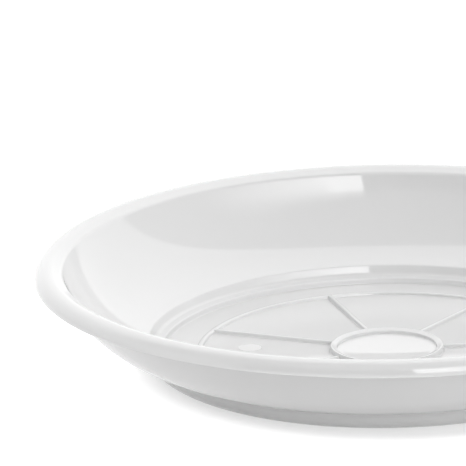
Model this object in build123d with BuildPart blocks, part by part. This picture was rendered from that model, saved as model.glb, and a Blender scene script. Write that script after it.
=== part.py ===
"""Round plant saucer with a rolled rim, a curved bowl, a stepped foot and a ribbed floor.

The origin is the middle of the ring that the saucer stands on, and +Z points up.
All sections are drawn in the XZ plane, as radius and height, and turned about Z.
"""

import os
from math import acos, atan2, degrees

from build123d import *

# Overall sizes, in millimetres and degrees
rim_diameter = 250.0
overall_height = 36.8
wall = 1.6

# Rolled rim, a round lip that turns outwards and ends in an open lower edge
rim_roll_radius = 4.6
lip_skirt = 0.5
lip_edge_share = 0.3

# Bowl, one arc that leaves the rolled rim at this slope and ends at the step
bowl_run = 39.9
bowl_top_slope = 68.0

# Step down from the bowl to the floor, with a narrow ledge half way
step_rise = 3.8
step_draft = 0.8
ledge_width = 3.4
ledge_rise = 2.1
ledge_draft = 0.5

# Foot, rounded outside, and the flat land that touches the table
foot_wall = 1.5
foot_round_share = 0.85
foot_land = 5.0
foot_lift = 0.3

# Floor plate and the round mould mark in it
floor_thickness = 1.4
mark_diameter = 8.6
mark_depth = 0.15
mark_inset = 16.7
mark_angle = 174.5

# Ribs on the floor, each narrower at its top than at its base
rib_draft = 0.3
ring_rib_inset = 12.0
ring_rib_width = 2.4
ring_rib_height = 1.0
ring_rib_round = 0.3
centre_ring_share = 0.3076
centre_ring_width = 2.6
centre_ring_height = 2.1
centre_ring_round = 0.9
spoke_count = 7
spoke_first_angle = 5.4
spoke_width = 1.9
spoke_height = 1.3
spoke_round = 0.45

# Radii and heights that follow from these
rim_radius = rim_diameter / 2
step_radius = rim_radius - bowl_run
foot_radius = step_radius + foot_wall
floor_top = foot_lift + floor_thickness
ledge_top = floor_top + ledge_rise
step_top = ledge_top + step_rise
lip_edge_round = wall * lip_edge_share

# The rim's roll, from the lip's skirt over the top to where the bowl takes over
roll_turn = 90 + bowl_top_slope
roll_centre = Vector(rim_radius - rim_roll_radius, overall_height - rim_roll_radius)
roll_normal = Vector(1, 0).rotate(Axis.Z, roll_turn)
roll_end = roll_centre + roll_normal * rim_roll_radius

# The bowl's arc is tangent to the roll and passes through the step's edge
step_edge = Vector(step_radius, step_top)
bowl_chord = step_edge - roll_end
bowl_radius = bowl_chord.dot(bowl_chord) / (2 * bowl_chord.dot(roll_normal))
bowl_centre = roll_end + roll_normal * bowl_radius
bowl_end_angle = roll_turn - 180
step_spoke = step_edge - bowl_centre
step_angle = degrees(atan2(step_spoke.Y, step_spoke.X))

# The bowl's outside meets the foot at this angle and height
foot_angle = -degrees(acos((foot_radius - bowl_centre.X) / (bowl_radius + wall)))
foot_corner = bowl_centre + Vector(bowl_radius + wall, 0).rotate(Axis.Z, foot_angle)
foot_round = foot_corner.Y * foot_round_share
land_radius = foot_radius - foot_round
plate_radius = land_radius - foot_land

# Edges of the step, and what is set in from them on the floor
ledge_outer_radius = step_radius - step_draft
ledge_inner_radius = ledge_outer_radius - ledge_width
floor_edge_radius = ledge_inner_radius - ledge_draft
ring_rib_inner_radius = floor_edge_radius - ring_rib_inset - ring_rib_width
mark_circle_radius = ring_rib_inner_radius - mark_inset
centre_ring_inner_radius = ring_rib_inner_radius * centre_ring_share - centre_ring_width
floor_section = Plane((0, 0, floor_top), x_dir=(1, 0, 0), z_dir=(0, -1, 0))


def rib_section(inner: float, width: float, height: float, edge_round: float) -> None:
    """Draw a rib's drafted section, standing on the floor from an inner radius outwards."""
    rib_face = Polygon(
        (inner, 0),
        (inner + width, 0),
        (inner + width - rib_draft, height),
        (inner + rib_draft, height),
        align=None,
    )
    fillet(rib_face.vertices().group_by(Axis.Y)[-1], edge_round)


os.makedirs("parts", exist_ok=True)

# Rolled rim
with BuildPart() as rolled_rim:
    with BuildSketch(Plane.XZ):
        with BuildLine():
            roll_outside = CenterArc(roll_centre, rim_roll_radius, 0, roll_turn)
            roll_inside = CenterArc(roll_centre, rim_roll_radius - wall, 0, roll_turn)
            lip_drop = Vector(0, lip_skirt)
            Polyline(
                roll_outside @ 0,
                roll_outside @ 0 - lip_drop,
                roll_inside @ 0 - lip_drop,
                roll_inside @ 0,
            )
            Line(roll_outside @ 1, roll_inside @ 1)
        rim_face = make_face()
        fillet(rim_face.vertices().group_by(Axis.Y)[0], lip_edge_round)
    revolve(axis=Axis.Z)
rolled_rim.part.label = "rolled_rim"
export_step(rolled_rim.part, "parts/rolled_rim.step")

# Bowl wall, with the same thickness all the way
with BuildPart() as bowl_wall:
    with BuildSketch(Plane.XZ):
        with BuildLine():
            bowl_inside = CenterArc(bowl_centre, bowl_radius, step_angle, bowl_end_angle - step_angle)
            bowl_outside = CenterArc(bowl_centre, bowl_radius + wall, foot_angle, bowl_end_angle - foot_angle)
            Line(bowl_inside @ 0, bowl_outside @ 0)
            Line(bowl_inside @ 1, bowl_outside @ 1)
        make_face()
    revolve(axis=Axis.Z)
bowl_wall.part.label = "bowl_wall"
export_step(bowl_wall.part, "parts/bowl_wall.step")

# Foot ring, stepped inside and rounded outside
with BuildPart() as foot_ring:
    with BuildSketch(Plane.XZ):
        with BuildLine():
            foot_arc = CenterArc((land_radius, foot_round), foot_round, -90, 90)
            Polyline(
                foot_arc @ 1,
                foot_corner,
                step_edge,
                (ledge_outer_radius, ledge_top),
                (ledge_inner_radius, ledge_top),
                (floor_edge_radius, floor_top),
                (plate_radius, floor_top),
                (plate_radius, 0),
                foot_arc @ 0,
            )
        make_face()
    revolve(axis=Axis.Z)
foot_ring.part.label = "foot_ring"
export_step(foot_ring.part, "parts/foot_ring.step")

# Floor plate, held just clear of the table by the foot ring
with BuildPart() as floor_plate:
    with BuildSketch(Plane.XY.offset(foot_lift)):
        Circle(plate_radius)
    extrude(amount=floor_thickness)
    with BuildSketch(Plane.XY.offset(floor_top)):
        with PolarLocations(mark_circle_radius, 1, start_angle=mark_angle):
            Circle(mark_diameter / 2)
    extrude(amount=-mark_depth, mode=Mode.SUBTRACT)
floor_plate.part.label = "floor_plate"
export_step(floor_plate.part, "parts/floor_plate.step")

# Ring rib round the floor
with BuildPart() as ring_rib:
    with BuildSketch(floor_section):
        rib_section(ring_rib_inner_radius, ring_rib_width, ring_rib_height, ring_rib_round)
    revolve(axis=Axis.Z)
ring_rib.part.label = "ring_rib"
export_step(ring_rib.part, "parts/ring_rib.step")

# Ring in the middle of the floor
with BuildPart() as centre_ring:
    with BuildSketch(floor_section):
        rib_section(centre_ring_inner_radius, centre_ring_width, centre_ring_height, centre_ring_round)
    revolve(axis=Axis.Z)
centre_ring.part.label = "centre_ring"
export_step(centre_ring.part, "parts/centre_ring.step")

# Spokes from the centre ring to the ring rib, their ends shaped by the sides of both rings
spoke_start = centre_ring_inner_radius + centre_ring_width / 2
spoke_length = ring_rib_inner_radius + rib_draft - spoke_start
for number in range(spoke_count):
    spoke_angle = spoke_first_angle + number * 360 / spoke_count
    outwards = Vector(1, 0).rotate(Axis.Z, spoke_angle)
    sideways = Vector(0, 1).rotate(Axis.Z, spoke_angle)
    spoke_origin = outwards * spoke_start + Vector(0, 0, floor_top)
    with BuildPart() as spoke_rib:
        with BuildSketch(Plane(spoke_origin, x_dir=sideways, z_dir=outwards)):
            rib_section(-spoke_width / 2, spoke_width, spoke_height, spoke_round)
        extrude(amount=spoke_length)
        add(centre_ring.part, mode=Mode.SUBTRACT)
        add(ring_rib.part, mode=Mode.SUBTRACT)
    spoke_name = f"spoke_rib_{number + 1}"
    spoke_rib.part.label = spoke_name
    export_step(spoke_rib.part, f"parts/{spoke_name}.step")
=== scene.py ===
"""Studio scene of a glossy white plant saucer.

The frame gives the saucer's main sizes. One seamless shell stands for the rim, bowl, foot and floor.
The rings and spokes on the floor are pieces of their own, each with a small fillet at its base.
Lengths are in metres, and angles in degrees. X is to the right, Y away from the camera and Z up.
"""

import logging
from dataclasses import dataclass, field
from enum import Enum
from math import acos, asin, cos, degrees, hypot, radians, sin, tan, tau

import bmesh
import bpy
from mathutils import Matrix, Vector


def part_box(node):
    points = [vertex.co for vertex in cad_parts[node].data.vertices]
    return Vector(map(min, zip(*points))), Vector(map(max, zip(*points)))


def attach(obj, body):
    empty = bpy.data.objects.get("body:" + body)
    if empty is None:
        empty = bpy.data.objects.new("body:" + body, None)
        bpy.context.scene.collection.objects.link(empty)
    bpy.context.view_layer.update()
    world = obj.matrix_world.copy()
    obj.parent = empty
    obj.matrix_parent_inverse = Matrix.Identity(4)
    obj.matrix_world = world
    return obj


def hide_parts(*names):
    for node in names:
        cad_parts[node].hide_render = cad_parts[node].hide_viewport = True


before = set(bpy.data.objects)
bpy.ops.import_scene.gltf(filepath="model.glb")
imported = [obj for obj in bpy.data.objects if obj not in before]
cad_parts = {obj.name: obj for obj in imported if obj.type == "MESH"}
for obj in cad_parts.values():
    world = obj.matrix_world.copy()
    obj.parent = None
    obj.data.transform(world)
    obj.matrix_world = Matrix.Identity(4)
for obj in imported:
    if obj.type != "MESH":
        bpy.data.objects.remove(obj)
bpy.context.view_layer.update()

BODY = "root"
MERGE_DISTANCE = 1e-6
SHARP_ANGLE = 50.0
TO_THE_LEFT = (0.0, -1.0, 0.0)
UPWARDS = (0.0, 0.0, 1.0)
WHITE = (1.0, 1.0, 1.0, 1.0)

log = logging.getLogger("plant_saucer")


class ShellZone(Enum):
    """Zones of the shell, as the places of their finishes among its materials."""

    WALL = 0
    FLOOR = 1
    UNDERSIDE = 2
    MARK = 3
    DISC = 4


class SectionPen:
    """Draws a section as one wire in the XZ plane, with X as radius and Z as height."""

    def __init__(self, radius: float, height: float) -> None:
        """Put the pen down.

        Args:
            radius: First point's distance from the axis.
            height: First point's height.
        """
        self.mesh = bmesh.new()
        self.start = bmesh.ops.create_vert(self.mesh, co=Vector((radius, 0, height)))["vert"][0]
        self.tip = self.start
        self.corners: list[tuple[bmesh.types.BMVert, float]] = []

    def line_to(self, radius: float, height: float, setback: float = 0.0, parts: int = 1) -> "SectionPen":
        """Draw a straight run.

        Args:
            radius: End point's distance from the axis.
            height: End point's height.
            setback: Length that the end's rounding takes from each run beside it, or zero.
            parts: Number of equal parts in the run.

        Returns:
            The pen itself.
        """
        step = (Vector((radius, 0, height)) - self.tip.co) / parts
        for _ in range(parts):
            self.tip = bmesh.ops.extrude_vert_indiv(self.mesh, verts=[self.tip])["verts"][0]
            bmesh.ops.translate(self.mesh, verts=[self.tip], vec=step)
        if setback:
            self.corners.append((self.tip, setback))
        return self

    def arc(self, centre: Vector, turn: float, steps: int) -> "SectionPen":
        """Draw an arc about a centre.

        Args:
            centre: Centre of the arc, as a point of the XZ plane.
            turn: Angle of the arc, positive from +X towards +Z.
            steps: Number of straight steps along it.

        Returns:
            The pen itself.
        """
        made = bmesh.ops.spin(
            self.mesh, geom=[self.tip], cent=centre, axis=TO_THE_LEFT, angle=radians(turn), steps=steps
        )
        self.tip = next(item for item in made["geom_last"] if isinstance(item, bmesh.types.BMVert))
        return self

    def close(self) -> "SectionPen":
        """Join the last point to the first one, and give back the pen."""
        bmesh.ops.contextual_create(self.mesh, geom=[self.tip, self.start])
        return self

    def rounded(self, segments: int) -> bmesh.types.BMesh:
        """Round the corners that have a setback.

        Args:
            segments: Number of segments in each rounding.

        Returns:
            The mesh that holds the finished wire.
        """
        for corner, setback in self.corners:
            bmesh.ops.bevel(
                self.mesh,
                geom=[corner],
                offset=setback,
                offset_type="OFFSET",
                segments=segments,
                profile=0.5,
                affect="VERTICES",
                material=-1,
            )
        return self.mesh


def in_section(length: float, angle: float) -> Vector:
    """Give a vector of the section's plane.

    Args:
        length: Length of the vector.
        angle: Angle from +X towards +Z.

    Returns:
        The vector.
    """
    return Vector((cos(radians(angle)), 0, sin(radians(angle)))) * length


def turn_about_axis(mesh: bmesh.types.BMesh, sides: int) -> None:
    """Turn a wire section once about the Z axis into a closed skin that faces outwards.

    Args:
        mesh: Mesh that holds only the wire.
        sides: Number of steps in the full turn.
    """
    wire = mesh.verts[:] + mesh.edges[:]
    bmesh.ops.spin(mesh, geom=wire, cent=(0, 0, 0), axis=UPWARDS, angle=tau, steps=sides, use_merge=True)
    bmesh.ops.remove_doubles(mesh, verts=mesh.verts[:], dist=MERGE_DISTANCE)
    bmesh.ops.recalc_face_normals(mesh, faces=mesh.faces[:])


def finished_piece(mesh: bmesh.types.BMesh, name: str, *nodes: str) -> bpy.types.Object:
    """Make an object of a mesh, smooth but for its sharp edges, and tie it to the frame.

    Args:
        mesh: Finished mesh, which is freed.
        name: Name of the new piece.
        *nodes: Nodes of the frame that the piece stands for.

    Returns:
        The new object, at the origin.
    """
    for face in mesh.faces:
        face.smooth = True
    for edge in mesh.edges:
        edge.smooth = edge.calc_face_angle(0.0) < radians(SHARP_ANGLE)
    data = bpy.data.meshes.new(name)
    mesh.to_mesh(data)
    mesh.free()
    piece = bpy.data.objects.new(name, data)
    bpy.context.scene.collection.objects.link(piece)
    piece.modifiers.new("weighted_normals", "WEIGHTED_NORMAL").keep_sharp = True
    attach(piece, BODY)
    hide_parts(*nodes)
    log.info("%s: %d faces, stands for %s", name, len(data.polygons), ", ".join(nodes))
    return piece


@dataclass
class MouldedShell:
    """The saucer's skin in one piece: rolled rim, bowl, stepped foot and floor."""

    wall: float = 0.0016
    roll_radius: float = 0.0046
    lip_round: float = 0.00048
    roll_slope: float = 68.0
    flange_width: float = 0.0098
    flange_slope: float = 26.0
    flange_round: float = 0.0008
    bowl_slope: float = 68.0
    foot_wall: float = 0.0015
    foot_round_share: float = 0.85
    riser_slope: float = 66.0
    riser_round: float = 0.0009
    step_round: float = 0.0005
    ledge_width: float = 0.0031
    ledge_rise: float = 0.0021
    ledge_slope: float = 11.0
    ledge_draft: float = 0.0002
    ledge_round: float = 0.0005
    disc_radius: float = 0.0175
    disc_sag: float = 0.0008
    disc_rise: float = 0.00045
    disc_step: float = 0.019
    foot_edge_round: float = 0.0003
    land_round: float = 0.0001
    mark_radius: float = 0.0043
    mark_depth: float = 0.00015
    mark_draft: float = 0.00025
    mark_place: float = 0.0493
    mark_angle: float = 174.5
    mark_margin: float = 0.0025
    mark_edge_round: float = 0.00008
    sides: int = 320
    disc_steps: int = 8
    floor_bands: int = 12
    roll_steps: int = 40
    bowl_steps: int = 40
    foot_steps: int = 14
    corner_segments: int = 8
    mark_sides: int = 72
    mark_segments: int = 2
    piece: bpy.types.Object | None = field(default=None, init=False)

    def __post_init__(self) -> None:
        """Read from the frame the sizes that it holds."""
        rim_low, rim_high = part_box("rolled_rim")
        plate_low, plate_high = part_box("floor_plate")
        foot_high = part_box("foot_ring")[1]
        self.rim_radius, self.height = rim_high.x, rim_high.z
        self.lip_bottom = rim_low.z
        self.foot_radius, self.step_top = foot_high.x, foot_high.z
        self.plate_radius, self.floor_top = plate_high.x, plate_high.z
        self.underside = plate_low.z
        self.roll_centre = Vector((self.rim_radius - self.roll_radius, 0, self.height - self.roll_radius))
        self.disc_top = self.floor_top + self.disc_rise
        self.ledge_top = self.floor_top + self.ledge_rise
        self.step_radius = self.foot_radius - self.foot_wall
        self.ledge_back = self.ledge_top + self.ledge_width * tan(radians(self.ledge_slope))
        riser_run = (self.step_top - self.ledge_back) / tan(radians(self.riser_slope))
        self.ledge_outer = self.step_radius - riser_run
        self.floor_edge = self.ledge_outer - self.ledge_width - self.ledge_draft

    def section(self) -> SectionPen:
        """Draw the section from the middle of the floor round the rim to the middle of the underside.

        Returns:
            The pen that holds the section.
        """
        pen = SectionPen(0, self.disc_top - self.disc_sag)
        self.draw_floor(pen)
        self.draw_inside(pen)
        self.draw_outside(pen)
        return pen

    def draw_floor(self, pen: SectionPen) -> None:
        """Draw the raised and dished middle, the flat floor and the ledge, up to the step's edge.

        The middle ends in a step that the middle ring covers.

        Args:
            pen: Pen at the middle of the floor.
        """
        disc_curve = (self.disc_radius**2 + self.disc_sag**2) / (2 * self.disc_sag)
        disc_centre = pen.tip.co + Vector((0, 0, disc_curve))
        pen.arc(disc_centre, degrees(asin(self.disc_radius / disc_curve)), self.disc_steps)
        pen.line_to(self.disc_step, self.disc_top)
        pen.line_to(self.disc_step, self.floor_top)
        pen.line_to(self.floor_edge, self.floor_top, self.ledge_round, self.floor_bands)
        pen.line_to(self.floor_edge + self.ledge_draft, self.ledge_top, self.ledge_round)
        pen.line_to(self.ledge_outer, self.ledge_back, self.riser_round)
        pen.line_to(self.step_radius, self.step_top, self.step_round)

    def draw_inside(self, pen: SectionPen) -> None:
        """Draw the bowl's inside, the flange that slopes up from it and the roll of the rim.

        Args:
            pen: Pen at the step's edge.
        """
        roll_start = 90 + self.flange_slope
        flange_top = self.roll_centre + in_section(self.roll_radius, roll_start)
        flange_run = flange_top.x - self.rim_radius + self.flange_width
        flange_edge = flange_top - Vector((flange_run, 0, flange_run * tan(radians(self.flange_slope))))
        chord = pen.tip.co - flange_edge
        bowl_normal = in_section(1, 90 + self.bowl_slope)
        bowl_curve = chord.dot(chord) / (2 * chord.dot(bowl_normal))
        bowl_turn = 2 * degrees(asin(chord.length / (2 * bowl_curve)))
        pen.arc(flange_edge + bowl_normal * bowl_curve, bowl_turn, self.bowl_steps)
        pen.corners.append((pen.tip, self.flange_round))
        pen.line_to(flange_top.x, flange_top.z)
        pen.arc(self.roll_centre, -roll_start, self.roll_steps)

    def draw_outside(self, pen: SectionPen) -> None:
        """Draw the lip, the bowl's outside, the foot and the underside.

        Args:
            pen: Pen at the widest point of the rim.
        """
        roll_turn = 90 + self.roll_slope
        roll_end = self.roll_centre + in_section(self.roll_radius, roll_turn)
        roll_normal = in_section(1, roll_turn)
        chord = Vector((self.step_radius, 0, self.step_top)) - roll_end
        bowl_radius = chord.dot(chord) / (2 * chord.dot(roll_normal))
        bowl_centre = roll_end + roll_normal * bowl_radius
        foot_angle = -degrees(acos((self.foot_radius - bowl_centre.x) / (bowl_radius + self.wall)))
        foot_corner = bowl_centre + in_section(bowl_radius + self.wall, foot_angle)
        foot_round = foot_corner.z * self.foot_round_share
        lip_inside = self.rim_radius - self.wall

        pen.line_to(self.rim_radius, self.lip_bottom, self.lip_round)
        pen.line_to(lip_inside, self.lip_bottom, self.lip_round)
        pen.line_to(lip_inside, self.roll_centre.z)
        pen.arc(self.roll_centre, roll_turn, self.roll_steps)
        pen.arc(bowl_centre, foot_angle + 180 - roll_turn, self.bowl_steps)
        pen.corners.append((pen.tip, self.foot_edge_round))
        pen.line_to(self.foot_radius, foot_round)
        pen.arc(Vector((self.foot_radius - foot_round, 0, foot_round)), -90, self.foot_steps)
        pen.line_to(self.plate_radius, 0, self.land_round)
        pen.line_to(self.plate_radius, self.underside, self.land_round)
        pen.line_to(0, self.underside)

    def sink_mark(self, mesh: bmesh.types.BMesh) -> None:
        """Sink the round mould mark into the floor.

        Args:
            mesh: The turned shell, which gets a patch with the mark in it.
        """
        angle = radians(self.mark_angle)
        middle = Vector((cos(angle), sin(angle), 0)) * self.mark_place + Vector((0, 0, self.floor_top))
        reach = self.mark_radius + self.mark_margin
        near = [face for face in mesh.faces if (face.calc_center_median() - middle).length < reach]
        patch = [face for face in near if face.normal.z > 0]
        bmesh.ops.delete(mesh, geom=patch, context="FACES")
        hole = [edge for edge in mesh.edges if edge.is_boundary]
        made = bmesh.ops.create_circle(
            mesh,
            cap_ends=True,
            radius=self.mark_radius,
            segments=self.mark_sides,
            matrix=Matrix.Translation(middle),
        )
        mark = made["verts"][0].link_faces[0]
        mark_rim = list(mark.edges)
        bmesh.ops.bridge_loops(mesh, edges=hole + mark_rim)
        bmesh.ops.recalc_face_normals(mesh, faces=mesh.faces[:])
        bmesh.ops.inset_individual(mesh, faces=[mark], thickness=self.mark_draft, depth=-self.mark_depth)
        bmesh.ops.bevel(
            mesh,
            geom=mark_rim + list(mark.edges),
            offset=self.mark_edge_round,
            offset_type="OFFSET",
            segments=self.mark_segments,
            profile=0.5,
            affect="EDGES",
            material=-1,
        )

    def zone_of(self, face: bmesh.types.BMFace) -> ShellZone:
        """Say which zone a face is in.

        Args:
            face: A face of the shell.

        Returns:
            The zone whose finish the face takes.
        """
        middle = face.calc_center_median()
        radius = hypot(middle.x, middle.y)
        if face.normal.z < 0 and radius < self.plate_radius:
            return ShellZone.UNDERSIDE
        if radius > self.floor_edge:
            return ShellZone.WALL
        if radius < self.disc_step:
            return ShellZone.DISC
        if middle.z < self.floor_top - self.mark_depth / 2:
            return ShellZone.MARK
        return ShellZone.FLOOR

    def build(self) -> None:
        """Turn the section, sink the mark and make the piece."""
        mesh = self.section().rounded(self.corner_segments)
        turn_about_axis(mesh, self.sides)
        self.sink_mark(mesh)
        for face in mesh.faces:
            face.material_index = self.zone_of(face).value
        self.piece = finished_piece(
            mesh, "moulded_shell", "rolled_rim", "bowl_wall", "foot_ring", "floor_plate"
        )

    def dress(self, finishes: dict[ShellZone, bpy.types.Material]) -> None:
        """Give each zone its finish.

        Args:
            finishes: Material of each zone.
        """
        for zone in ShellZone:
            self.piece.data.materials.append(finishes[zone])


@dataclass(frozen=True)
class RibShape:
    """Section of a raised rib: its draft on each side, the crown and edges of its top, and its fillet.

    A rib may also have a shoulder that slopes from its top down to its inner side.
    """

    draft: float
    crown: float
    top_round: float
    fillet: float
    shoulder_width: float = 0.0
    shoulder_drop: float = 0.0
    sunk: float = 0.0003
    crown_steps: int = 6
    segments: int = 5

    def section(self, inner: float, outer: float, base: float, top: float) -> bmesh.types.BMesh:
        """Draw the rib's closed section.

        Args:
            inner: Where its inner side meets the floor.
            outer: Where its outer side meets the floor.
            base: Height of the floor.
            top: Height of its top.

        Returns:
            A mesh that holds the section as a wire.
        """
        pen = SectionPen(inner - self.fillet, base - self.sunk)
        pen.line_to(inner - self.fillet, base)
        pen.line_to(inner, base, self.fillet)
        crown_base = top - self.crown
        crown_inner, crown_outer = inner + self.draft + self.shoulder_width, outer - self.draft
        if self.shoulder_width:
            pen.line_to(inner + self.draft, crown_base - self.shoulder_drop, self.top_round)
        pen.line_to(crown_inner, crown_base, self.top_round)
        half_width = (crown_outer - crown_inner) / 2
        curve = (half_width**2 + self.crown**2) / (2 * self.crown)
        middle = Vector((crown_inner + half_width, 0, top - curve))
        pen.arc(middle, -2 * degrees(asin(half_width / curve)), self.crown_steps)
        pen.corners.append((pen.tip, self.top_round))
        pen.line_to(outer, base, self.fillet)
        pen.line_to(outer + self.fillet, base)
        pen.line_to(outer + self.fillet, base - self.sunk)
        mesh = pen.close().rounded(self.segments)
        bmesh.ops.remove_doubles(mesh, verts=mesh.verts[:], dist=MERGE_DISTANCE)
        return mesh


@dataclass
class FloorRing:
    """A raised ring on the floor, about the saucer's axis."""

    name: str
    node: str
    width: float
    shape: RibShape
    sides: int = 240
    piece: bpy.types.Object | None = field(default=None, init=False)

    def build(self) -> None:
        """Turn the ring's section about the axis, where the frame has the ring."""
        low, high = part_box(self.node)
        mesh = self.shape.section(high.x - self.width, high.x, low.z, high.z)
        turn_about_axis(mesh, self.sides)
        self.piece = finished_piece(mesh, self.name, self.node)

    def dress(self, finish: bpy.types.Material) -> None:
        """Give the ring its finish."""
        self.piece.data.materials.append(finish)


@dataclass
class SpokeSet:
    """The straight ribs between the two rings, evenly spaced about the axis."""

    inner_ring: FloorRing
    outer_ring: FloorRing
    shape: RibShape
    width: float = 0.0019
    count: int = 7
    first_angle: float = 5.4
    pieces: list[bpy.types.Object] = field(default_factory=list, init=False)

    def build(self) -> None:
        """Make each spoke from the middle of the inner ring's section to the side of the outer ring."""
        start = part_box(self.inner_ring.node)[1].x - self.inner_ring.width / 2
        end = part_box(self.outer_ring.node)[1].x - self.outer_ring.width + self.outer_ring.shape.draft
        for number in range(1, self.count + 1):
            node = f"spoke_rib_{number}"
            low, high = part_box(node)
            mesh = self.shape.section(-self.width / 2, self.width / 2, low.z, high.z)
            made = bmesh.ops.extrude_edge_only(mesh, edges=mesh.edges[:])["geom"]
            far_end = [item for item in made if isinstance(item, bmesh.types.BMVert)]
            bmesh.ops.translate(mesh, verts=far_end, vec=(0, end - start, 0))
            bmesh.ops.translate(mesh, verts=mesh.verts[:], vec=(0, start, 0))
            bmesh.ops.holes_fill(mesh, edges=mesh.edges[:])
            bmesh.ops.recalc_face_normals(mesh, faces=mesh.faces[:])
            angle = self.first_angle + (number - 1) * 360 / self.count
            turn = Matrix.Rotation(radians(angle - 90), 3, UPWARDS)
            bmesh.ops.rotate(mesh, verts=mesh.verts[:], cent=(0, 0, 0), matrix=turn)
            self.pieces.append(finished_piece(mesh, f"spoke_{number}", node))

    def dress(self, finish: bpy.types.Material) -> None:
        """Give every spoke its finish."""
        for piece in self.pieces:
            piece.data.materials.append(finish)


class NodeBoard:
    """Adds nodes to one node tree and links them."""

    def __init__(self, tree: bpy.types.NodeTree) -> None:
        """Clear the tree.

        Args:
            tree: Node tree to work on.
        """
        self.tree = tree
        tree.nodes.clear()

    def add(
        self, kind: str, sockets: dict[str | int, object] | None = None, **settings: object
    ) -> bpy.types.Node:
        """Add a node, with its settings and its inputs.

        Args:
            kind: Blender's name for the node's type.
            sockets: For each input by name or number, a socket to link from or a plain value.
            **settings: Properties of the node.

        Returns:
            The new node.
        """
        node = self.tree.nodes.new(kind)
        for name, value in settings.items():
            setattr(node, name, value)
        for key, value in (sockets or {}).items():
            if isinstance(value, bpy.types.NodeSocket):
                self.tree.links.new(value, node.inputs[key])
            else:
                node.inputs[key].default_value = value
        return node

    def math(self, operation: str, *values: object) -> bpy.types.NodeSocket:
        """Add a Math node.

        Args:
            operation: Blender's name for the operation.
            *values: Sockets or numbers, in order.

        Returns:
            The node's output.
        """
        return self.add("ShaderNodeMath", dict(enumerate(values)), operation=operation).outputs[0]

    def rise(
        self, value: bpy.types.NodeSocket, given: tuple[float, float], levels: tuple[float, float]
    ) -> bpy.types.NodeSocket:
        """Bring a value from one range to another, and hold it there.

        Args:
            value: The value.
            given: Its own range.
            levels: The range that comes out.

        Returns:
            The level.
        """
        ends = {"From Min": given[0], "From Max": given[1], "To Min": levels[0], "To Max": levels[1]}
        return self.add("ShaderNodeMapRange", {"Value": value, **ends}).outputs[0]


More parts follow.
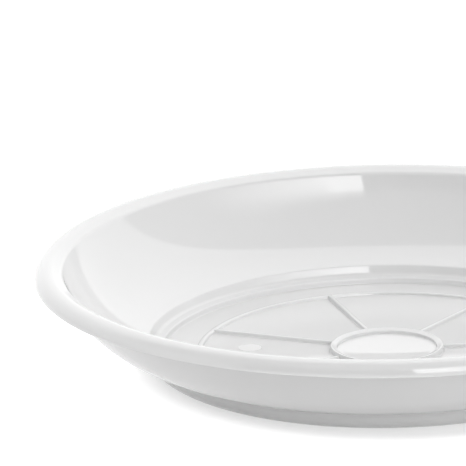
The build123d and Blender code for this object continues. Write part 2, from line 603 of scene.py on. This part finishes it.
class SurfaceGroups:
    """Effects that the finishes share, each built once as a group of shader nodes."""

    WIPE_ANGLE = 35.0
    WIPE_STRETCH = 14.0

    def __init__(self) -> None:
        """Build the groups."""
        self.skin = self.build_skin()
        self.gloss = self.build_gloss()
        self.tone = self.build_tone()
        self.rings = self.build_rings()
        self.warp = self.build_warp()

    @staticmethod
    def start(
        name: str, inputs: dict[str, str], outputs: dict[str, str]
    ) -> tuple[NodeBoard, bpy.types.Node, bpy.types.Node]:
        """Start a group.

        Args:
            name: Name of the group.
            inputs: Socket type of each input, by name.
            outputs: Socket type of each output, by name.

        Returns:
            The group's board, its input node and its output node.
        """
        tree = bpy.data.node_groups.new(name, "ShaderNodeTree")
        for label, kind in inputs.items():
            tree.interface.new_socket(label, in_out="INPUT", socket_type=kind)
        for label, kind in outputs.items():
            tree.interface.new_socket(label, in_out="OUTPUT", socket_type=kind)
        board = NodeBoard(tree)
        return board, board.add("NodeGroupInput"), board.add("NodeGroupOutput")

    @staticmethod
    def noise(
        board: NodeBoard, place: bpy.types.NodeSocket, size: object, detail: float
    ) -> bpy.types.NodeSocket:
        """Add a noise that swings about zero.

        Args:
            board: Board of the group.
            place: Coordinates.
            size: Size of one swell, as a socket or a length.
            detail: Number of finer layers.

        Returns:
            The noise, from about -0.5 to 0.5.
        """
        scale = board.math("DIVIDE", 1.0, size)
        noise = board.add("ShaderNodeTexNoise", {"Vector": place, "Scale": scale, "Detail": detail})
        return board.math("SUBTRACT", noise.outputs[0], 0.5)

    def build_skin(self) -> bpy.types.NodeTree:
        """Long waves that cooling leaves in a moulded wall, under a fine grain.

        Returns:
            A group that puts out a height.
        """
        inputs = {
            "Place": "NodeSocketVector",
            "Wave Size": "NodeSocketFloat",
            "Wave Height": "NodeSocketFloat",
            "Grain Size": "NodeSocketFloat",
            "Grain Height": "NodeSocketFloat",
        }
        board, given, result = self.start("moulded_skin", inputs, {"Height": "NodeSocketFloat"})
        place = given.outputs["Place"]
        wave = self.noise(board, place, given.outputs["Wave Size"], 1.0)
        grain = self.noise(board, place, given.outputs["Grain Size"], 2.0)
        waves = board.math("MULTIPLY", wave, given.outputs["Wave Height"])
        height = board.math("MULTIPLY_ADD", grain, given.outputs["Grain Height"], waves)
        board.tree.links.new(height, result.inputs["Height"])
        return board.tree

    def build_gloss(self) -> bpy.types.NodeTree:
        """Roughness that drifts in soft patches and fine wipe marks.

        Returns:
            A group that puts out a roughness.
        """
        inputs = {
            "Place": "NodeSocketVector",
            "Roughness": "NodeSocketFloat",
            "Drift": "NodeSocketFloat",
            "Patch Size": "NodeSocketFloat",
        }
        board, given, result = self.start("gloss_drift", inputs, {"Roughness": "NodeSocketFloat"})
        place = given.outputs["Place"]
        patches = self.noise(board, place, given.outputs["Patch Size"], 3.0)
        turn = (0, 0, radians(self.WIPE_ANGLE))
        stretch = (1, self.WIPE_STRETCH, 1)
        drawn_out = board.add("ShaderNodeMapping", {"Vector": place, "Rotation": turn, "Scale": stretch})
        wipes = self.noise(board, drawn_out.outputs[0], given.outputs["Patch Size"], 4.0)
        both = board.math("ADD", patches, wipes)
        roughness = board.math("MULTIPLY_ADD", both, given.outputs["Drift"], given.outputs["Roughness"])
        board.tree.links.new(roughness, result.inputs["Roughness"])
        return board.tree

    def build_tone(self) -> bpy.types.NodeTree:
        """Slow drift of the plastic's tone, as from flow in the mould.

        Returns:
            A group that puts out a colour.
        """
        inputs = {
            "Place": "NodeSocketVector",
            "Colour": "NodeSocketColor",
            "Drift": "NodeSocketFloat",
            "Patch Size": "NodeSocketFloat",
        }
        board, given, result = self.start("tone_drift", inputs, {"Colour": "NodeSocketColor"})
        flow = self.noise(board, given.outputs["Place"], given.outputs["Patch Size"], 2.0)
        value = board.math("MULTIPLY_ADD", flow, given.outputs["Drift"], 1.0)
        toned = board.add(
            "ShaderNodeVectorMath", {0: given.outputs["Colour"], "Scale": value}, operation="SCALE"
        )
        board.tree.links.new(toned.outputs[0], result.inputs["Colour"])
        return board.tree

    @staticmethod
    def radius(board: NodeBoard, place: bpy.types.NodeSocket) -> bpy.types.NodeSocket:
        """Measure a place's distance from the axis.

        Args:
            board: Board of the group.
            place: Coordinates.

        Returns:
            The distance.
        """
        flat = board.add("ShaderNodeVectorMath", {0: place, 1: (1, 1, 0)}, operation="MULTIPLY")
        return board.add("ShaderNodeVectorMath", {0: flat.outputs[0]}, operation="LENGTH").outputs["Value"]

    def build_warp(self) -> bpy.types.NodeTree:
        """Slight lean of the floor towards its far side, as cooling leaves it.

        Returns:
            A group that puts out a height.
        """
        inputs = {"Place": "NodeSocketVector", "Lean": "NodeSocketFloat"}
        board, given, result = self.start("warped_floor", inputs, {"Height": "NodeSocketFloat"})
        away = board.add("ShaderNodeSeparateXYZ", {0: given.outputs["Place"]}).outputs["Y"]
        fall = board.math("MULTIPLY", away, given.outputs["Lean"])
        board.tree.links.new(board.math("MULTIPLY", fall, -1.0), result.inputs["Height"])
        return board.tree

    def build_rings(self) -> bpy.types.NodeTree:
        """Fine rings about the axis, left by the turning of the mould.

        Returns:
            A group that puts out a height.
        """
        inputs = {
            "Place": "NodeSocketVector",
            "Pitch": "NodeSocketFloat",
            "Depth": "NodeSocketFloat",
        }
        board, given, result = self.start("turned_rings", inputs, {"Height": "NodeSocketFloat"})
        turns = board.math("DIVIDE", self.radius(board, given.outputs["Place"]), given.outputs["Pitch"])
        swing = board.math("SINE", board.math("MULTIPLY", turns, tau))
        height = board.math("MULTIPLY", swing, given.outputs["Depth"])
        board.tree.links.new(height, result.inputs["Height"])
        return board.tree


@dataclass(frozen=True)
class PlasticFinish:
    """White plastic as one side of the mould leaves it."""

    name: str
    grey: float = 0.775
    tone_drift: float = 0.012
    tone_patch: float = 0.06
    roughness: float = 0.035
    gloss_drift: float = 0.012
    gloss_patch: float = 0.02
    refraction: float = 1.62
    wave_size: float = 0.022
    wave_height: float = 0.000012
    grain_size: float = 0.0012
    grain_height: float = 0.0000004
    ring_pitch: float = 0.0012
    ring_depth: float = 0.0
    lean: float = 0.0

    def material(self, groups: SurfaceGroups) -> bpy.types.Material:
        """Build the finish.

        Args:
            groups: The shared effects.

        Returns:
            A material with the finish's values.
        """
        material = bpy.data.materials.new(self.name)
        material.use_nodes = True
        board = NodeBoard(material.node_tree)
        place = board.add("ShaderNodeTexCoord").outputs["Object"]

        skin = {
            "Place": place,
            "Wave Size": self.wave_size,
            "Wave Height": self.wave_height,
            "Grain Size": self.grain_size,
            "Grain Height": self.grain_height,
        }
        tone = {
            "Place": place,
            "Colour": (self.grey, self.grey, self.grey, 1),
            "Drift": self.tone_drift,
            "Patch Size": self.tone_patch,
        }
        gloss = {
            "Place": place,
            "Roughness": self.roughness,
            "Drift": self.gloss_drift,
            "Patch Size": self.gloss_patch,
        }
        height = self.effect(board, groups.skin, skin)
        if self.ring_depth:
            rings = {"Place": place, "Pitch": self.ring_pitch, "Depth": self.ring_depth}
            height = board.math("ADD", height, self.effect(board, groups.rings, rings))
        if self.lean:
            warp = {"Place": place, "Lean": self.lean}
            height = board.math("ADD", height, self.effect(board, groups.warp, warp))
        bump = board.add("ShaderNodeBump", {"Height": height, "Distance": 1.0, "Strength": 1.0})
        shader = board.add(
            "ShaderNodeBsdfPrincipled",
            {
                "Base Color": self.effect(board, groups.tone, tone),
                "Roughness": self.effect(board, groups.gloss, gloss),
                "IOR": self.refraction,
                "Normal": bump.outputs[0],
            },
        )
        board.add("ShaderNodeOutputMaterial", {"Surface": shader.outputs[0]})
        return material

    @staticmethod
    def effect(
        board: NodeBoard, group: bpy.types.NodeTree, sockets: dict[str, object]
    ) -> bpy.types.NodeSocket:
        """Place a shared effect.

        Args:
            board: Board of the material.
            group: The effect.
            sockets: Its inputs.

        Returns:
            The effect's output.
        """
        return board.add("ShaderNodeGroup", sockets, node_tree=group).outputs[0]


def direction(azimuth: float, elevation: float) -> Vector:
    """Give the unit vector to a place in the studio.

    Args:
        azimuth: Angle from the camera's side, positive to the right.
        elevation: Angle above the floor.

    Returns:
        The vector from the saucer to that place.
    """
    level = cos(radians(elevation))
    return Vector((sin(radians(azimuth)) * level, -cos(radians(azimuth)) * level, sin(radians(elevation))))


@dataclass(frozen=True)
class StudioDisc:
    """A round panel of the studio, with the angles of its middle, its half angle and its soft edge."""

    azimuth: float
    elevation: float
    half_angle: float
    edge: float

    def within(self, board: NodeBoard, towards: bpy.types.NodeSocket) -> bpy.types.NodeSocket:
        """Tell whether a direction meets the disc.

        Args:
            board: Board of the world.
            towards: The direction.

        Returns:
            One inside, zero outside and a slope between.
        """
        middle = {0: towards, 1: direction(self.azimuth, self.elevation)}
        facing = board.add("ShaderNodeVectorMath", middle, operation="DOT_PRODUCT").outputs["Value"]
        near, far = cos(radians(self.half_angle - self.edge)), cos(radians(self.half_angle + self.edge))
        return board.rise(facing, (far, near), (0.0, 1.0))


@dataclass(frozen=True)
class StudioCard:
    """A panel of light or shade in the studio.

    Its azimuths and elevations each hold four angles: where it begins, is full, starts to fade and ends.
    """

    azimuths: tuple[float, float, float, float]
    elevations: tuple[float, float, float, float]
    level: float

    @staticmethod
    def within(
        board: NodeBoard, angle: bpy.types.NodeSocket, edges: tuple[float, float, float, float]
    ) -> bpy.types.NodeSocket:
        """Tell how far an angle is within the card's edges.

        Args:
            board: Board of the world.
            angle: The angle of a direction.
            edges: The card's four angles.

        Returns:
            One inside, zero outside and a slope between.
        """
        begin, full, fading, end = edges
        rise = board.rise(angle, (begin, full), (0.0, 1.0))
        fall = board.rise(angle, (fading, end), (1.0, 0.0))
        return board.math("MULTIPLY", rise, fall)

    def over(
        self,
        board: NodeBoard,
        level: bpy.types.NodeSocket,
        azimuth: bpy.types.NodeSocket,
        elevation: bpy.types.NodeSocket,
    ) -> bpy.types.NodeSocket:
        """Hang the card in front of what is there.

        Args:
            board: Board of the world.
            level: Light level without the card.
            azimuth: Azimuth of a direction.
            elevation: Elevation of the direction.

        Returns:
            Light level with the card.
        """
        across = self.within(board, azimuth, self.azimuths)
        upright = self.within(board, elevation, self.elevations)
        mask = board.math("MULTIPLY", across, upright)
        return board.add("ShaderNodeMix", {0: mask, 2: level, 3: self.level}).outputs[0]


@dataclass
class Studio:
    """A pale floor, a white backdrop behind it, a dim room with a few cards, and the camera.

    The floor's contact shadow is partly painted: the glow seen by camera and glossy rays dims with how open
    the floor is, measured about shadow_side, over the real shadow in its matt part.
    """

    floor_radius: float = 5.0
    floor_sides: int = 64
    floor_grey: float = 0.78
    floor_light: float = 0.05
    floor_shade: float = 0.4
    # Settings of the painted contact shadow, which dims the floor's glow near the saucer
    shadow_reach: float = 0.014
    shadow_side: tuple[float, float, float] = (-0.45, 0.0, 0.9)
    shadow_openness: tuple[float, float] = (0.35, 0.55)
    shadow_levels: tuple[float, float] = (0.57, 0.9)
    backdrop: StudioDisc = StudioDisc(180.0, 7.5, 69.2, 0.6)
    backdrop_rise: tuple[float, float] = (20.0, 45.0)
    backdrop_levels: tuple[float, float] = (1.4, 1.65)
    room_level: float = 0.49
    white_wing: StudioCard = StudioCard((-125, -110, -62, -48), (-1, 0, 14, 45), 1.4)
    black_flag: StudioCard = StudioCard((-47, -45, 8.5, 9.5), (-1, 0, 43, 44), 0.0)
    soft_light: StudioCard = StudioCard((9, 10, 24, 75), (6, 16, 38, 52), 3.9)
    window: StudioCard = StudioCard((8.5, 9.5, 23, 24), (8, 11, 43, 44), 4.5)
    camera_place: tuple[float, float, float] = (0.0, -1.61733, 0.52216)
    camera_yaw: float = 1.9168
    camera_pitch: float = -16.3994
    camera_roll: float = -1.31418
    camera_lens: float = 366.77
    camera_sensor: float = 36.0

    def build(self) -> None:
        """Set up the whole studio."""
        self.build_floor()
        self.build_world()
        self.build_camera()
        bpy.context.scene.view_settings.view_transform = "Standard"

    def build_floor(self) -> None:
        """Lay the floor, which is white to the camera and keeps the saucer's real shadow in its matt part,
        with a painted shadow in its glow near the saucer.
        """
        mesh = bmesh.new()
        bmesh.ops.create_circle(mesh, cap_ends=True, radius=self.floor_radius, segments=self.floor_sides)
        data = bpy.data.meshes.new("floor")
        mesh.to_mesh(data)
        mesh.free()
        floor = bpy.data.objects.new("floor", data)
        bpy.context.scene.collection.objects.link(floor)

        material = bpy.data.materials.new("pale_floor")
        material.use_nodes = True
        board = NodeBoard(material.node_tree)
        pale = (self.floor_grey, self.floor_grey, self.floor_grey, 1)
        shade = (self.floor_shade, self.floor_shade, self.floor_shade, 1)
        side = board.add("ShaderNodeCombineXYZ", dict(enumerate(self.shadow_side))).outputs[0]
        reach = {"Distance": self.shadow_reach, "Normal": side}
        # Painted shadow: the glow's strength falls where little is open about shadow_side, near the saucer's
        # foot
        openness = board.add("ShaderNodeAmbientOcclusion", reach).outputs["AO"]
        level = board.rise(openness, self.shadow_openness, self.shadow_levels)
        bounce = self.glowing(board, pale, self.floor_light)
        shown = self.glowing(board, shade, level)
        mixed = board.add("ShaderNodeMixShader", {0: self.seen(board), 1: bounce, 2: shown})
        board.add("ShaderNodeOutputMaterial", {"Surface": mixed.outputs[0]})
        data.materials.append(material)

    @staticmethod
    def glowing(
        board: NodeBoard, colour: tuple[float, float, float, float], strength: object
    ) -> bpy.types.NodeSocket:
        """Mix a matt surface with a glow of its own.

        Args:
            board: Board of the floor's material.
            colour: Colour of the surface.
            strength: Strength of the glow, as a socket or a number.

        Returns:
            The shader.
        """
        matt = board.add("ShaderNodeBsdfDiffuse", {"Color": colour}).outputs[0]
        glow = board.add("ShaderNodeEmission", {"Color": WHITE, "Strength": strength}).outputs[0]
        return board.add("ShaderNodeAddShader", {0: matt, 1: glow}).outputs[0]

    @staticmethod
    def seen(board: NodeBoard) -> bpy.types.NodeSocket:
        """Tell rays that show the background from those that only light the saucer.

        Args:
            board: Board of a material or the world.

        Returns:
            One for camera, glossy and transmission rays, and zero for the others.
        """
        path = board.add("ShaderNodeLightPath")
        straight = board.math("MAXIMUM", path.outputs["Is Camera Ray"], path.outputs["Is Glossy Ray"])
        return board.math("MAXIMUM", straight, path.outputs["Is Transmission Ray"])

    def build_world(self) -> None:
        """Set the backdrop, the dim room and its cards, which light the saucer and show in its gloss."""
        world = bpy.data.worlds.new("studio")
        bpy.context.scene.world = world
        world.use_nodes = True
        board = NodeBoard(world.node_tree)
        towards = board.add("ShaderNodeTexCoord").outputs["Generated"]
        along = board.add("ShaderNodeSeparateXYZ", {0: towards}).outputs
        nearer = board.math("MULTIPLY", along["Y"], -1.0)
        azimuth = board.math("DEGREES", board.math("ARCTAN2", along["X"], nearer))
        elevation = board.math("DEGREES", board.math("ARCSINE", along["Z"]))

        behind = board.rise(elevation, self.backdrop_rise, self.backdrop_levels)
        inside = self.backdrop.within(board, towards)
        level = board.add("ShaderNodeMix", {0: inside, 2: self.room_level, 3: behind}).outputs[0]
        for card in (self.white_wing, self.black_flag, self.soft_light, self.window):
            level = card.over(board, level, azimuth, elevation)

        path = board.add("ShaderNodeLightPath")
        strength = board.add("ShaderNodeMix", {0: path.outputs["Is Camera Ray"], 2: level, 3: 1.0}).outputs[0]
        background = board.add("ShaderNodeBackground", {"Color": WHITE, "Strength": strength})
        board.add("ShaderNodeOutputWorld", {"Surface": background.outputs[0]})

    def build_camera(self) -> None:
        """Place the camera at the photograph's viewing angle."""
        data = bpy.data.cameras.new("camera")
        data.lens = self.camera_lens
        data.sensor_width = self.camera_sensor
        camera = bpy.data.objects.new("camera", data)
        turn = Matrix.Rotation(radians(self.camera_yaw), 4, "Z")
        tilt = Matrix.Rotation(radians(90 + self.camera_pitch), 4, "X")
        roll = Matrix.Rotation(radians(self.camera_roll), 4, "Z")
        camera.matrix_world = Matrix.Translation(self.camera_place) @ turn @ tilt @ roll
        bpy.context.scene.collection.objects.link(camera)
        bpy.context.scene.camera = camera


def main() -> None:
    """Build the saucer, dress it and set up the studio."""
    logging.basicConfig(level=logging.INFO, format="%(message)s")
    groups = SurfaceGroups()
    wall = PlasticFinish("gloss_wall").material(groups)
    floor = PlasticFinish("gloss_floor", lean=0.02).material(groups)
    ribs = PlasticFinish("gloss_ribs").material(groups)
    mark = PlasticFinish("matt_mark", roughness=0.3, gloss_drift=0.06, grain_height=0.000004).material(groups)
    underside = PlasticFinish(
        "satin_underside", roughness=0.38, gloss_drift=0.08, grain_height=0.000004, ring_depth=0.0000015
    ).material(groups)

    shell = MouldedShell()
    shell.build()
    shell.dress(
        {
            ShellZone.WALL: wall,
            ShellZone.FLOOR: floor,
            ShellZone.UNDERSIDE: underside,
            ShellZone.MARK: mark,
            ShellZone.DISC: ribs,
        }
    )

    low_rib = RibShape(draft=0.0003, crown=0.00022, top_round=0.0002, fillet=0.0002)
    spoke_rib = RibShape(draft=0.0002, crown=0.0002, top_round=0.00018, fillet=0.0003)
    shouldered_rib = RibShape(
        draft=0.0002,
        crown=0.0001,
        top_round=0.0001,
        fillet=0.0003,
        shoulder_width=0.0014,
        shoulder_drop=0.0006,
    )
    outer_ring = FloorRing("floor_ring", "ring_rib", 0.0024, low_rib)
    middle_ring = FloorRing("middle_ring", "centre_ring", 0.0026, shouldered_rib)
    spokes = SpokeSet(middle_ring, outer_ring, spoke_rib)
    for raised in (outer_ring, middle_ring, spokes):
        raised.build()
        raised.dress(ribs)

    Studio().build()


if __name__ == "__main__":
    main()
